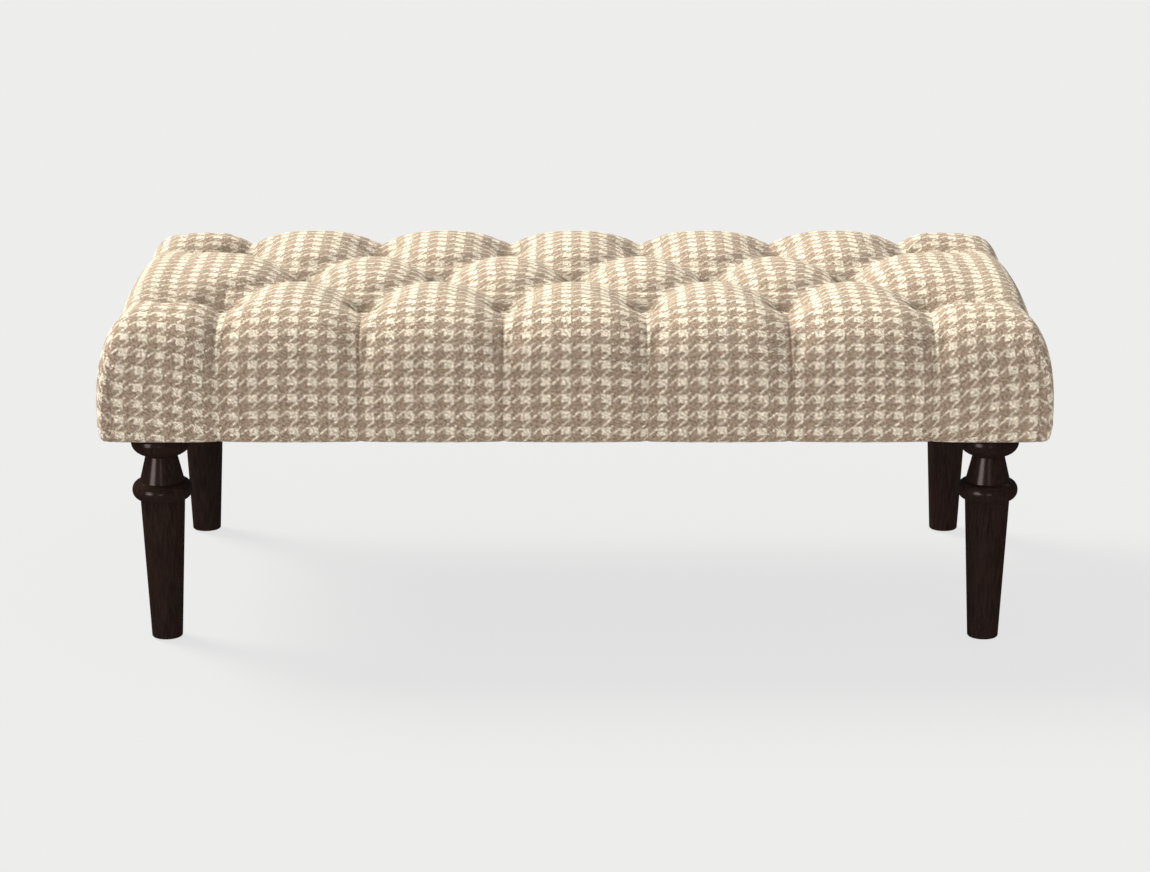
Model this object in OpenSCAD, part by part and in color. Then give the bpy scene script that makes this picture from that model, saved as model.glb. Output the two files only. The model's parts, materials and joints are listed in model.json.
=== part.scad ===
// Button tufted footstool: a long upholstered seat on four turned legs.
// The origin is on the floor, under the middle of the seat, with X along its length.

/* [Seat] */
// Length of the seat, end to end
seat_l = 1232; // [1160:4:1300]
// Depth of the seat, front to back
seat_d = 622; // [600:2:644]
// Height of the seat, from its lower edge to the pillow tops
seat_h = 168; // [164:1:179]
// Height of the seat's lower edge above the floor
seat_bottom = 283; // [276:1:286]
// Height of the widest line above the lower edge
widest_h = 35; // [28:1:40]
// Reach of the rounding from the top over each end
end_round = 62; // [56:1:72]
// Reach of the rounding from the top over the front and the back
long_round = 125; // [112:1:132]
// How far the lower edge is drawn in under the widest line
tuck = 6; // [4:0.5:7]

/* [Tufts] */
// Buttons in the front row and in the back row
button_columns = 6; // [4:2:8]
// Distance from the seat's outline to the outer buttons
button_margin = 155.5; // [150:0.5:160]
// Depth of the tufts below the pillow tops
tuft_depth = 40; // [34:1:42]
// Extra depth close to each button
pit_depth = 3; // [1:0.5:4]
// Reach of that extra depth around the button
pit_reach = 16; // [12:1:20]
// Depth of the pleats on the upright sides
pleat_depth = 3; // [2:0.5:4]
// Half width of the opening in the cloth behind each button
cloth_hole = 10; // [9:0.5:11]

/* [Buttons] */
// Diameter of a covered button
button_dia = 25; // [23:0.5:27]
// Height of its domed face
button_dome = 7; // [6:0.5:8]
// Height of its straight edge
button_edge = 2.5; // [2:0.5:3]
// Diameter of the boss on its back
boss_dia = 11; // [10:0.5:12]
// Diameter of the eye's wire
eye_wire = 1.6; // [1.4:0.1:1.8]
// Inside diameter of the eye
eye_bore = 3.6; // [3.2:0.1:4]

/* [Filling] */
// Thickness of the cloth cover
cover_t = 1.5; // [1:0.1:2]
// Thickness of the firm foam sheet
foam_t = 20; // [15:1:22]
// How far the foam sheet stays inside the frame
foam_inset = 10; // [8:1:14]
// Diameter of the bores for the tufting twine
foam_bore = 9; // [8.5:0.5:10]
// Diameter of the tufting twine
twine_dia = 2; // [1.6:0.1:2.4]
// Clearance between soft layers
layer_gap = 0.3; // [0.2:0.05:0.5]

/* [Frame] */
// Padding between the frame and the widest line
side_padding = 18; // [16:0.5:20]
// Thickness of the rails
rail_t = 22; // [20:0.5:24]
// Thickness of the plywood deck
deck_t = 12; // [9:1:15]
// Width of the cross braces
brace_w = 22; // [18:1:26]
// Length and width of the corner blocks
block_w = 84; // [80:1:90]

/* [Underside] */
// Width of the cloth turned under the rails
hem_w = 28; // [26:0.5:29]
// Thickness of the dust cover
dust_t = 0.5; // [0.4:0.1:0.8]
// Overlap of the dust cover on the turned cloth
dust_lap = 8; // [5:1:12]
// Distance between staples
staple_pitch = 72; // [70:1:74]
// Length of a staple's crown
staple_w = 11; // [9:1:12]
// Depth of a staple's legs in the rail
staple_depth = 7; // [5:1:9]
// Width of the staple wire
staple_wire = 0.9; // [0.7:0.1:1]

/* [Legs] */
// Distance from the seat's end to a leg's axis
leg_end_inset = 77.6; // [76:0.2:80]
// Distance from the seat's front to a leg's axis
leg_side_inset = 70; // [68:0.5:72]
// Diameter of the foot
foot_dia = 40.4; // [38:0.2:44]
// Diameter at the top of the tapered shaft
shaft_dia = 58; // [54:1:60]
// Distance from the leg's top down to the ring's middle
ring_drop = 78.6; // [77:0.2:82]
// Height of the ring
ring_h = 24.2; // [22:0.2:27]
// Diameter of the ring
ring_dia = 78.4; // [75:0.2:82]
// Diameter of the narrowest part of the neck
neck_dia = 41.6; // [40:0.2:45]
// Height of the bun's whole oval
bun_h = 34.4; // [32:0.2:36]
// Height of the bun's middle below the seat
bun_drop = 13.8; // [12:0.2:15]
// Diameter of the bun
bun_dia = 77.8; // [75:0.2:80]
// Rounding of the foot's lower edge
foot_round = 2; // [1:0.5:3]
// Diameter of the glide under the foot
glide_dia = 22; // [18:1:26]
// Thickness of the glide
glide_t = 2; // [1.5:0.5:3]
// Diameter of the glide's nail
nail_dia = 2.4; // [2:0.2:3]
// Length of that nail in the leg
nail_l = 12; // [8:1:15]

/* [Fasteners] */
// Diameter of the hanger bolts
bolt_dia = 8; // [7:0.5:9]
// Depth of a bolt in the leg
bolt_depth = 40; // [35:1:45]
// Length of a bolt above the tee nut
bolt_above = 4; // [2:1:6]
// Diameter of a tee nut's barrel
nut_barrel = 11; // [10.5:0.5:12]
// Length of that barrel
nut_reach = 9; // [7:1:12]
// Diameter of a tee nut's flange
nut_flange = 24; // [20:1:26]
// Thickness of that flange
nut_t = 1.6; // [1.2:0.2:2]
// Diameter of the wood screws
screw_dia = 4; // [3.5:0.1:4.5]
// Length of the wood screws
screw_l = 46; // [42:1:48]
// Length of the deck screws
deck_screw_l = 30; // [25:1:35]
// Diameter of the washers that hold the twine
washer_dia = 20; // [16:1:22]
// Thickness of those washers
washer_t = 2; // [1.5:0.5:3]
// Clearance around a fastener
fit_gap = 0.05; // [0.03:0.01:0.1]

/* [Hidden] */

$fn = 48;
// Overrun of every cut
cut = 1;

// Seat outline and levels
seat_top = seat_bottom + seat_h;
half_l = seat_l / 2;
half_d = seat_d / 2;
widest_z = seat_bottom + widest_h;
crown_h = seat_top - widest_z;
rail_z = seat_bottom + cover_t;
rail_height_share = 5 / 12;
brace_height_share = 9 / 14;
block_height_share = 11 / 14;
rail_h = seat_h * rail_height_share;
brace_h = rail_h * brace_height_share;
block_h = rail_h * block_height_share;
deck_z = rail_z + rail_h;
foam_z = deck_z + deck_t;
foam_top = foam_z + foam_t;
frame_l = half_l - side_padding;
frame_d = half_d - side_padding;
inner_l = frame_l - rail_t;
inner_d = frame_d - rail_t;
leg_x = half_l - leg_end_inset;
leg_y = half_d - leg_side_inset;
leg_top = seat_bottom - dust_t;
ring_z = leg_top - ring_drop;
pit_z = seat_top - tuft_depth - pit_depth;

// Shape of the rounding and of the pillows
round_power = 2.5;
corner_power = 2.3;
corner_power_rise = 6;
pillow_power = 3.6;
pleat_fade_power = 1.4;

// Places of the buttons
outer_x = half_l - button_margin;
row_y = half_d - button_margin;
pitch = 2 * outer_x / (button_columns - 1);
button_rows = concat(
    [for (k = [0:button_columns - 1]) [k * pitch - outer_x, -row_y]],
    [for (k = [0:button_columns - 2]) [(k + 1 / 2) * pitch - outer_x, 0]],
    [for (k = [0:button_columns - 1]) [k * pitch - outer_x, row_y]]
);

// Lines of the cushion's net, from the middle outwards
quarters = 2 * (button_columns - 1);
end_shares = [0.36, 0.74, 0.93, 1];
long_shares = [0.32, 0.69, 0.92, 1];
row_shares = [0, 0.25, 0.75, 1];
x_lines = concat(
    [for (i = [0:quarters]) i * pitch / 4],
    [for (s = end_shares) outer_x + s * button_margin]
);
y_lines = concat(
    [for (s = row_shares) s * row_y],
    [for (s = long_shares) row_y + s * button_margin]
);
x_last = len(x_lines) - 1;
y_last = len(y_lines) - 1;
rows_in = len(row_shares) - 1;
nx = 2 * x_last;
ny = 2 * y_last;

// Valley between two pillows: 1 on the line, 0 in the middle of a pillow
function valley(turns) = pow(abs(cos(180 * turns)), pillow_power);

// Valley that fades out to one side of its line
function lone_valley(away, width) = valley(min(max(away, 0), width / 2) / width);

// Depth of a pleat between a button and the outline
function pleat(way) = let (f = pow(1 - way, pleat_fade_power)) tuft_depth * f + pleat_depth * (1 - f);

// Depth of the cushion's surface below its crown
function tuft(x, y) =
    let (
        way_x = min(max(x - outer_x, 0) / button_margin, 1),
        way_y = min(max(y - row_y, 0) / button_margin, 1),
        a = x / pitch,
        b = y / (2 * row_y),
        near = min([for (s = button_rows) norm([x - s.x, y - s.y])])
    )
    pit_depth * exp(-pow(near / pit_reach, 2)) + (
        x <= outer_x && y <= row_y ? tuft_depth * (valley(a + b) + valley(a - b)) / 2 :
        x <= outer_x ? pleat(way_y) * valley(a - 1 / 2) :
        y <= row_y ? pleat(way_x) * valley(b - 1 / 2) :
        max(pleat(way_y) * lone_valley(x - outer_x, pitch), pleat(way_x) * lone_valley(y - row_y, 2 * row_y))
    );

// Point of the cushion's surface over a place in plan, pushed inwards by inset
function skin(gx, gy, inset) =
    let (
        x = abs(gx),
        y = abs(gy),
        dx = max(x - half_l + end_round, 0) / end_round,
        dy = max(y - half_d + long_round, 0) / long_round,
        q = min(max(dx, dy), 1),
        k = corner_power + corner_power_rise * pow(q, 3),
        s = q > 0 ? q / pow(pow(dx, k) + pow(dy, k), 1 / k) : 1,
        h = pow(1 - pow(q, round_power), 1 / round_power),
        side = q > 0 ? [pow(dx, k - 1), pow(dy, k - 1)] / norm([pow(dx, k - 1), pow(dy, k - 1)]) : [0, 0],
        out = 2 * pow(q, round_power - 1) / (end_round + long_round),
        up = pow(h, round_power - 1) / crown_h,
        n = [side.x * out, side.y * out, up] / norm([side.x * out, side.y * out, up]),
        d = inset + tuft(x, y)
    )
    [
        sign(gx) * ((dx > 0 ? half_l - end_round + end_round * dx * s : x) - n.x * d),
        sign(gy) * ((dy > 0 ? half_d - long_round + long_round * dy * s : y) - n.y * d),
        widest_z + crown_h * h - n.z * d
    ];

// Place in plan of line i along X and line j along Y, with odd lines bent onto the valleys
function bend(i, j) =
    i % 2 == 0 || i >= quarters || j < 1 || j >= rows_in ? 0 :
    (i % 4 == 1 ? -1 : 1) * (j == 1 ? 1 : -1) * pitch / 8;
function plan(i, j) =
    let (a = abs(i - x_last), b = abs(j - y_last))
    [sign(i - x_last) * (x_lines[a] + bend(a, b)), sign(j - y_last) * y_lines[b]];

// Number of the button on a crossing of lines, or -1
function button_at(i, j) =
    let (a = abs(i - x_last), b = abs(j - y_last), c = i - x_last + quarters)
    a > quarters ? -1 :
    b == rows_in && a % 4 == 2 ? c / 4 + (j > y_last ? 2 * button_columns - 1 : 0) :
    b == 0 && a % 4 == 0 ? button_columns + (c - 2) / 4 : -1;

// Points: the net, four round each button, then the lower loop
function net_points(inset) = [
    for (i = [0:nx]) for (j = [0:ny]) let (g = plan(i, j)) skin(g.x, g.y, inset)
];
function ring_points(inset) = [
    for (s = button_rows) for (d = [0:3])
        [s.x + cloth_hole * cos(90 * d), s.y + cloth_hole * sin(90 * d), pit_z - inset]
];
loop = concat(
    [for (i = [0:nx - 1]) [i, 0]],
    [for (j = [0:ny - 1]) [nx, j]],
    [for (i = [0:nx - 1]) [nx - i, ny]],
    [for (j = [0:ny - 1]) [0, ny - j]]
);
function low_points(inset, z) = [
    for (c = loop) let (g = plan(c.x, c.y), s = skin(g.x, g.y, inset + tuck)) [s.x, s.y, z]
];
function corner_points(x, y, z) = [[-x, -y, z], [x, -y, z], [x, y, z], [-x, y, z]];
function surface_points(inset, z) = concat(net_points(inset), ring_points(inset), low_points(inset, z));
net_size = (nx + 1) * (ny + 1);
ring_size = 4 * len(button_rows);
loop_size = len(loop);
surface_size = net_size + ring_size + loop_size;

// Faces, as lists of point numbers
function corner(i, j, d1, d2) =
    let (k = button_at(i, j))
    k < 0 ? [i * (ny + 1) + j] : [net_size + 4 * k + d1, net_size + 4 * k + d2];
function cell(i, j) =
    let (
        a = corner(i, j, 1, 0),
        b = corner(i + 1, j, 2, 1),
        c = corner(i + 1, j + 1, 3, 2),
        d = corner(i, j + 1, 0, 3),
        out = (i < x_last) == (j < y_last)
    )
    len(a) > 1 ? concat(c, d, a, b) :
    len(b) > 1 ? concat(d, a, b, c) :
    len(c) > 1 ? concat(a, b, c, d) :
    len(d) > 1 ? concat(b, c, d, a) :
    out ? concat(a, b, c, d) : concat(b, c, d, a);
function fan(p) = [for (k = [1:len(p) - 2]) [p[0], p[k + 1], p[k]]];
net_faces = [for (i = [0:nx - 1]) for (j = [0:ny - 1]) each fan(cell(i, j))];
floor_faces = [for (k = [0:len(button_rows) - 1]) each fan([for (d = [0:3]) net_size + 4 * k + d])];
function rim(k) = let (c = loop[k % loop_size]) c.x * (ny + 1) + c.y;
function low(k) = net_size + ring_size + k % loop_size;
side_faces = [
    for (k = [0:loop_size - 1]) each [[rim(k), rim(k + 1), low(k + 1)], [rim(k), low(k + 1), low(k)]]
];
function quadrant(k) =
    k < x_last ? 0 : k < nx + y_last ? 1 : k < nx + ny + x_last ? 2 : k < 2 * nx + ny + y_last ? 3 : 0;
// Flat faces from the lower loop in to four corner points that start at number c
function under_faces(c) = [
    for (k = [0:loop_size - 1]) let (q = quadrant(k), last = quadrant((k + loop_size - 1) % loop_size))
        each concat(
            [[low(k), low(k + 1), c + q]],
            q == last ? [] : [[low(k), c + q, c + last]]
        )
];
function moved(faces, by) = [for (f = faces) [for (v = f) v + by]];
function turned(faces) = [for (f = faces) [f[0], f[2], f[1]]];

// Places of what repeats
legs = [[-1, -1], [1, -1], [-1, 1], [1, 1]];
screw_head = 2 * screw_dia;
rail_screw_shares = [0.3, 0.72];
block_level_shares = [0.25, 0.7];
brace_screw_shares = [0.3, 0.62];
deck_long_share = 0.31;
deck_end_share = 0.37;
screw_levels = [for (share = rail_screw_shares) rail_z + rail_h * share];
block_levels = [for (share = block_level_shares) rail_z + block_h * share];
brace_x = outer_x / 2;
brace_z = deck_z - brace_h;
brace_levels = [for (share = brace_screw_shares) brace_z + brace_h * share];
block_z = seat_bottom;
block_screw_shares = [0.28, 0.8];
deck_screw_xs = [for (k = [-3:3]) k * frame_l * deck_long_share];
deck_screw_ys = [for (k = [-1:1]) k * frame_d * deck_end_share];
staple_x = (inner_l + half_l - hem_w) / 2;
staple_y = (inner_d + half_d - hem_w) / 2;
staple_crown_t = staple_wire * 2 / 3;
staple_crown_z = seat_bottom - dust_t - staple_crown_t;
// Evenly spaced places between two legs, whose axes are at axis_at on either side
function between_legs(axis_at) =
    let (reach = axis_at - bun_dia / 2 - staple_w / 2, gaps = round(2 * reach / staple_pitch))
    [for (k = [0:gaps]) 2 * reach * k / gaps - reach];
staple_xs = between_legs(leg_x);
staple_ys = between_legs(leg_y);

// Shares and steps of the turned leg, and of the twine's knot
neck_share = 0.55;
bun_core_share = 0.9;
bun_low_share = -0.985;
oval_steps = 14;
knot_share = 2.2;
deck_bore = 2 * twine_dia;
washer_bore = twine_dia + 4 * fit_gap;

module at_legs() {
    for (s = legs) translate([s.x * leg_x, s.y * leg_y, 0]) children();
}

// Wood screw along +Z, with its head's face at the top
module screw(length, gap = 0) {
    translate([0, 0, -length]) cylinder(d = screw_dia + 2 * gap, h = length);
    translate([0, 0, -screw_dia / 2])
        cylinder(d1 = screw_dia + 2 * gap, d2 = screw_head + 2 * gap, h = screw_dia / 2);
}

module frame_screw_set(gap = 0) {
    for (sx = [-1, 1]) for (sy = [-1, 1]) for (z = screw_levels)
        translate([sx * (frame_l - rail_t / 2), sy * frame_d, z]) rotate([-90 * sy, 0, 0]) screw(screw_l, gap);
}

module block_screw_set(gap = 0) {
    for (s = legs) for (share = block_screw_shares) {
        translate([s.x * (inner_l - block_w * share), s.y * frame_d, block_levels[0]])
            rotate([-90 * s.y, 0, 0]) screw(screw_l, gap);
        translate([s.x * frame_l, s.y * (inner_d - block_w * share), block_levels[1]])
            rotate([0, 90 * s.x, 0]) screw(screw_l, gap);
    }
}

module brace_screw_set(gap = 0) {
    for (sx = [-1, 1]) for (sy = [-1, 1]) for (z = brace_levels)
        translate([sx * brace_x, sy * frame_d, z]) rotate([-90 * sy, 0, 0]) screw(screw_l, gap);
}

module deck_screw_set(gap = 0) {
    for (x = deck_screw_xs) for (sy = [-1, 1])
        translate([x, sy * (frame_d - rail_t / 2), foam_z]) screw(deck_screw_l, gap);
    for (y = deck_screw_ys) for (sx = [-1, 1])
        translate([sx * (frame_l - rail_t / 2), y, foam_z]) screw(deck_screw_l, gap);
    for (y = deck_screw_ys) for (sx = [-1, 1])
        translate([sx * brace_x, y, foam_z]) screw(deck_screw_l, gap);
}

// Staple driven up, with its crown along X under the dust cover
module staple(gap = 0) {
    leg_l = rail_z + staple_depth - staple_crown_z;
    translate([-staple_w / 2 - gap, -staple_wire / 2 - gap, staple_crown_z - gap])
        cube([staple_w + 2 * gap, staple_wire + 2 * gap, staple_crown_t + gap]);
    for (s = [-1, 1]) translate([s * (staple_w - staple_crown_t) / 2, 0, staple_crown_z])
        translate([-staple_crown_t / 2 - gap, -staple_wire / 2 - gap, 0])
            cube([staple_crown_t + 2 * gap, staple_wire + 2 * gap, leg_l + gap]);
}

module staple_set(gap = 0) {
    for (x = staple_xs) for (s = [-1, 1]) translate([x, s * staple_y, 0]) staple(gap);
    for (y = staple_ys) for (s = [-1, 1]) translate([s * staple_x, y, 0]) rotate(90) staple(gap);
}

module bolt_set(gap = 0) {
    top = block_z + block_h + nut_t + bolt_above;
    at_legs() translate([0, 0, leg_top - bolt_depth - gap])
        cylinder(d = bolt_dia + 2 * gap, h = top - leg_top + bolt_depth + 2 * gap);
}

// Rail along X; the end rails lie between two of these
module long_rail(side) {
    color("burlywood") difference() {
        translate([-frame_l, side > 0 ? inner_d : -frame_d, rail_z]) cube([2 * frame_l, rail_t, rail_h]);
        frame_screw_set(fit_gap);
        block_screw_set(fit_gap);
        brace_screw_set(fit_gap);
        deck_screw_set(fit_gap);
        staple_set(fit_gap);
    }
}

module end_rail(side) {
    color("burlywood") difference() {
        translate([side > 0 ? inner_l : -frame_l, -inner_d, rail_z]) cube([rail_t, 2 * inner_d, rail_h]);
        frame_screw_set(fit_gap);
        block_screw_set(fit_gap);
        deck_screw_set(fit_gap);
        staple_set(fit_gap);
    }
}

module brace(side) {
    color("burlywood") difference() {
        translate([side * brace_x - brace_w / 2, -inner_d, brace_z]) cube([brace_w, 2 * inner_d, brace_h]);
        brace_screw_set(fit_gap);
        deck_screw_set(fit_gap);
    }
}

module deck() {
    color("tan") difference() {
        translate([-frame_l, -frame_d, deck_z]) cube([2 * frame_l, 2 * frame_d, deck_t]);
        deck_screw_set(fit_gap);
        for (s = button_rows) translate([s.x, s.y, deck_z - cut])
            cylinder(d = deck_bore, h = deck_t + 2 * cut);
    }
}

// Block in a corner of the frame, for the leg's bolt
module corner_block(sx, sy) {
    color("peru") difference() {
        translate([sx > 0 ? inner_l - block_w : -inner_l, sy > 0 ? inner_d - block_w : -inner_d, block_z])
            cube([block_w, block_w, block_h]);
        bolt_set(2 * fit_gap);
        nut_set(fit_gap);
        block_screw_set(fit_gap);
    }
}

module nut_set(gap = 0) {
    at_legs() translate([0, 0, block_z + block_h]) {
        cylinder(d = nut_flange + 2 * gap, h = nut_t + gap);
        translate([0, 0, -nut_reach - gap]) cylinder(d = nut_barrel + 2 * gap, h = nut_reach + gap);
    }
}

module tee_nuts() {
    color("silver") difference() {
        nut_set();
        bolt_set(fit_gap);
    }
}

module hanger_bolts() {
    color("silver") bolt_set();
}

// Half oval of a turned ring, between two heights given as shares of its half height
function oval(core, dia, mid, height, from_share, to_share, steps) = [
    for (k = [0:steps])
        let (t = from_share + (to_share - from_share) * k / steps)
        [(core + (dia - core) * sqrt(1 - t * t)) / 2, mid + t * height / 2]
];

// Turned leg: tapered shaft, ring, neck and bun
module leg() {
    bun_z = leg_top - bun_drop;
    bun_core = neck_dia * bun_core_share;
    foot_z = glide_t;
    bun_top_share = 2 * bun_drop / bun_h;
    color([0.13, 0.09, 0.08]) difference() {
        rotate_extrude($fn = 96) polygon(concat(
            [[0, foot_z], [foot_dia / 2 - foot_round, foot_z]],
            [for (a = [-60:30:0]) [
                foot_dia / 2 + foot_round * (cos(a) - 1), foot_z + foot_round * (1 + sin(a))
            ]],
            oval(shaft_dia, ring_dia, ring_z, ring_h, -1, 1, oval_steps),
            [[neck_dia / 2, bun_z - bun_h * neck_share]],
            oval(bun_core, bun_dia, bun_z, bun_h, bun_low_share, bun_top_share, oval_steps),
            [[0, leg_top]]
        ));
        translate([0, 0, leg_top - bolt_depth - 2 * fit_gap])
            cylinder(d = bolt_dia + 2 * fit_gap, h = bolt_depth + cut);
        translate([0, 0, foot_z - cut]) cylinder(d = nail_dia + 2 * fit_gap, h = nail_l + fit_gap + cut);
    }
}

module leg_at(sx, sy) {
    translate([sx * leg_x, sy * leg_y, 0]) leg();
}

// Nail-on glide: a low domed disc and its nail
module glide_at(sx, sy) {
    color("dimgray") translate([sx * leg_x, sy * leg_y, 0]) {
        rotate_extrude() polygon([
            [0, 0], [glide_dia / 2 - glide_t / 2, 0], [glide_dia / 2, glide_t / 2], [glide_dia / 2, glide_t],
            [nail_dia / 2, glide_t], [nail_dia / 2, glide_t + nail_l - nail_dia], [0, glide_t + nail_l]
        ]);
    }
}

module foam_sheet() {
    color("khaki") difference() {
        translate([foam_inset - frame_l, foam_inset - frame_d, foam_z])
            cube([2 * (frame_l - foam_inset), 2 * (frame_d - foam_inset), foam_t]);
        for (s = button_rows) translate([s.x, s.y, foam_z - cut]) cylinder(d = foam_bore, h = foam_t + 2 * cut);
    }
}

// Soft padding shaped by the tufts, over the foam sheet and down the rails
module padding() {
    inset = cover_t + layer_gap;
    bottom = rail_z + layer_gap;
    c = surface_size;
    color("ivory") difference() {
        polyhedron(
            points = concat(
                surface_points(inset, bottom), corner_points(inner_l, inner_d, bottom)
            ),
            faces = concat(
                net_faces, floor_faces, side_faces, under_faces(c),
                [[c, c + 1, c + 2], [c, c + 2, c + 3]]
            )
        );
        translate([-frame_l - layer_gap, -frame_d - layer_gap, bottom - cut])
            cube([2 * (frame_l + layer_gap), 2 * (frame_d + layer_gap), foam_z + layer_gap - bottom + cut]);
        translate([foam_inset - frame_l - layer_gap, foam_inset - frame_d - layer_gap, foam_z])
            cube([
                2 * (frame_l - foam_inset + layer_gap), 2 * (frame_d - foam_inset + layer_gap),
                foam_t + layer_gap
            ]);
        for (s = button_rows) translate([s.x, s.y, foam_top - cut])
            cylinder(d = foam_bore, h = pit_z - foam_top, $fn = 8);
    }
}

// Cloth cover: tufted on top, pleated on the sides, turned under the rails
module cover() {
    inner = surface_size;
    c = 2 * surface_size;
    hem_x = half_l - hem_w;
    hem_y = half_d - hem_w;
    holes = [
        for (k = [0:len(button_rows) - 1]) for (d = [0:3])
            let (o = net_size + 4 * k, e = (d + 1) % 4)
            each [[o + d, inner + o + d, inner + o + e], [o + d, inner + o + e, o + e]]
    ];
    edge = [
        for (q = [0:3]) let (e = (q + 1) % 4)
            each [[c + q, c + 4 + e, c + 4 + q], [c + q, c + e, c + 4 + e]]
    ];
    color([0.72, 0.65, 0.56]) polyhedron(
        points = concat(
            surface_points(0, seat_bottom), surface_points(cover_t, rail_z),
            corner_points(hem_x, hem_y, seat_bottom), corner_points(hem_x, hem_y, rail_z)
        ),
        faces = concat(
            net_faces, side_faces, under_faces(c),
            turned(moved(concat(net_faces, side_faces), inner)),
            turned([for (f = under_faces(0)) [for (v = f) v < 4 ? v + c + 4 : v + inner]]),
            holes, edge
        )
    );
}

module dust_cover() {
    dust_x = half_l - hem_w + dust_lap;
    dust_y = half_d - hem_w + dust_lap;
    color([0.16, 0.16, 0.16]) difference() {
        translate([-dust_x, -dust_y, seat_bottom - dust_t]) cube([2 * dust_x, 2 * dust_y, dust_t]);
        staple_set(fit_gap);
        bolt_set(2 * fit_gap);
    }
}

module staples() {
    color("silver") staple_set();
}

// Height of the button above the floor of its pit, clear of the cloth round it
cell_dx = pitch / 8;
cell_dy = row_shares[1] * row_y;
rise_x = (button_dia / 2 - cloth_hole) / (pitch / 4 - cloth_hole) * (tuft(0, 0) - tuft(pitch / 4, 0));
rise_slant = (button_dia / sqrt(2) - cloth_hole) / (cell_dx + cell_dy - cloth_hole)
    * (tuft(0, 0) - tuft(cell_dx, cell_dy));
// Outside the rows the net's first cell is a quarter pitch by the first of the long shares
out_dy = long_shares[0] * button_margin;
rise_out = (button_dia / sqrt(2) - cloth_hole) / (pitch / 4 + out_dy - cloth_hole)
    * (tuft(pitch / 2, row_y) - tuft(pitch * 3 / 4, row_y + out_dy));
button_z = pit_z + max(rise_x, rise_slant, rise_out, 0) + layer_gap;
eye_r = (eye_bore + eye_wire) / 2;
eye_z = pit_z - eye_r + eye_wire;

module eye(gap = 0) {
    translate([0, 0, eye_z]) rotate([90, 0, 0])
        rotate_extrude() translate([eye_r, 0]) circle(d = eye_wire + 2 * gap, $fn = 24);
}

// Button covered in the seat's cloth, with a boss behind that holds its eye
module button(k) {
    r = button_dia / 2;
    rise = button_dome - button_edge;
    color([0.76, 0.69, 0.6]) translate([button_rows[k].x, button_rows[k].y, 0]) difference() {
        rotate_extrude() polygon(concat(
            [[0, pit_z], [boss_dia / 2, pit_z], [boss_dia / 2, button_z], [r, button_z]],
            [for (a = [0:10:80]) [r * cos(a), button_z + button_edge + rise * sin(a)]],
            [[0, button_z + button_dome]]
        ));
        eye(fit_gap);
    }
}

module button_eyes() {
    color("silver") for (s = button_rows) translate([s.x, s.y, 0]) eye();
}

// Twine from each eye down through the filling and the deck, knotted under its washer
module tufting_twines() {
    knot = knot_share * twine_dia;
    top = eye_z - eye_r - eye_wire / 2 - fit_gap;
    bottom = deck_z - washer_t - knot;
    color("beige") for (s = button_rows) translate([s.x, s.y, bottom]) {
        cylinder(d = twine_dia, h = top - bottom);
        cylinder(d = knot, h = knot);
    }
}

module twine_washers() {
    color("silver") for (s = button_rows) translate([s.x, s.y, deck_z - washer_t]) difference() {
        cylinder(d = washer_dia, h = washer_t);
        translate([0, 0, -cut]) cylinder(d = washer_bore, h = washer_t + 2 * cut);
    }
}

module frame_screws() { color("goldenrod") frame_screw_set(); }
module block_screws() { color("goldenrod") block_screw_set(); }
module brace_screws() { color("goldenrod") brace_screw_set(); }
module deck_screws() { color("goldenrod") deck_screw_set(); }

long_rail(-1);  // rail_front
long_rail(1);  // rail_back
end_rail(-1);  // rail_left
end_rail(1);  // rail_right
brace(-1);  // brace_left
brace(1);  // brace_right
deck();
corner_block(-1, -1);  // corner_block_front_left
corner_block(1, -1);  // corner_block_front_right
corner_block(-1, 1);  // corner_block_back_left
corner_block(1, 1);  // corner_block_back_right
leg_at(-1, -1);  // leg_front_left
leg_at(1, -1);  // leg_front_right
leg_at(-1, 1);  // leg_back_left
leg_at(1, 1);  // leg_back_right
glide_at(-1, -1);  // glide_front_left
glide_at(1, -1);  // glide_front_right
glide_at(-1, 1);  // glide_back_left
glide_at(1, 1);  // glide_back_right
tee_nuts();
hanger_bolts();
frame_screws();
block_screws();
brace_screws();
deck_screws();
foam_sheet();
padding();
cover();
dust_cover();
staples();
for (k = [0:button_columns - 1]) {
    button(k);
    button(2 * button_columns - 1 + k);
}
for (k = [0:button_columns - 2]) {
    button(button_columns + k);
}
button_eyes();
tufting_twines();
twine_washers();
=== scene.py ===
import json
import math

import bmesh
import bpy
import numpy as np
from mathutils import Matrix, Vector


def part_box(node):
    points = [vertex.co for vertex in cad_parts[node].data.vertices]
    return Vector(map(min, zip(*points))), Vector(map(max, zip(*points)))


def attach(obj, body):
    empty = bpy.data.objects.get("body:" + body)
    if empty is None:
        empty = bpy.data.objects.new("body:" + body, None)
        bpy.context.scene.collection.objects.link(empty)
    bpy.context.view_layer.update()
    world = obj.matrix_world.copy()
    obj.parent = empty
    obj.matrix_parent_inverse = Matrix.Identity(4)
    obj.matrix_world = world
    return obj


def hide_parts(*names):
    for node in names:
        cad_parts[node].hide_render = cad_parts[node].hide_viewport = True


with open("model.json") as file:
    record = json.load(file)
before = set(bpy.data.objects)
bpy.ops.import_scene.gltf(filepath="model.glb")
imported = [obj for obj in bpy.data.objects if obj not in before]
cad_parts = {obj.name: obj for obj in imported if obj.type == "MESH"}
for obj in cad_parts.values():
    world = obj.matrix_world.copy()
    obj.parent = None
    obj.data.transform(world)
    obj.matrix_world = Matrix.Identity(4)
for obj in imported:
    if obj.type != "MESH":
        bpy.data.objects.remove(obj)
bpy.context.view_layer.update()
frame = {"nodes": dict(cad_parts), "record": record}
nodes = frame["nodes"]
scene = bpy.context.scene
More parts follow.
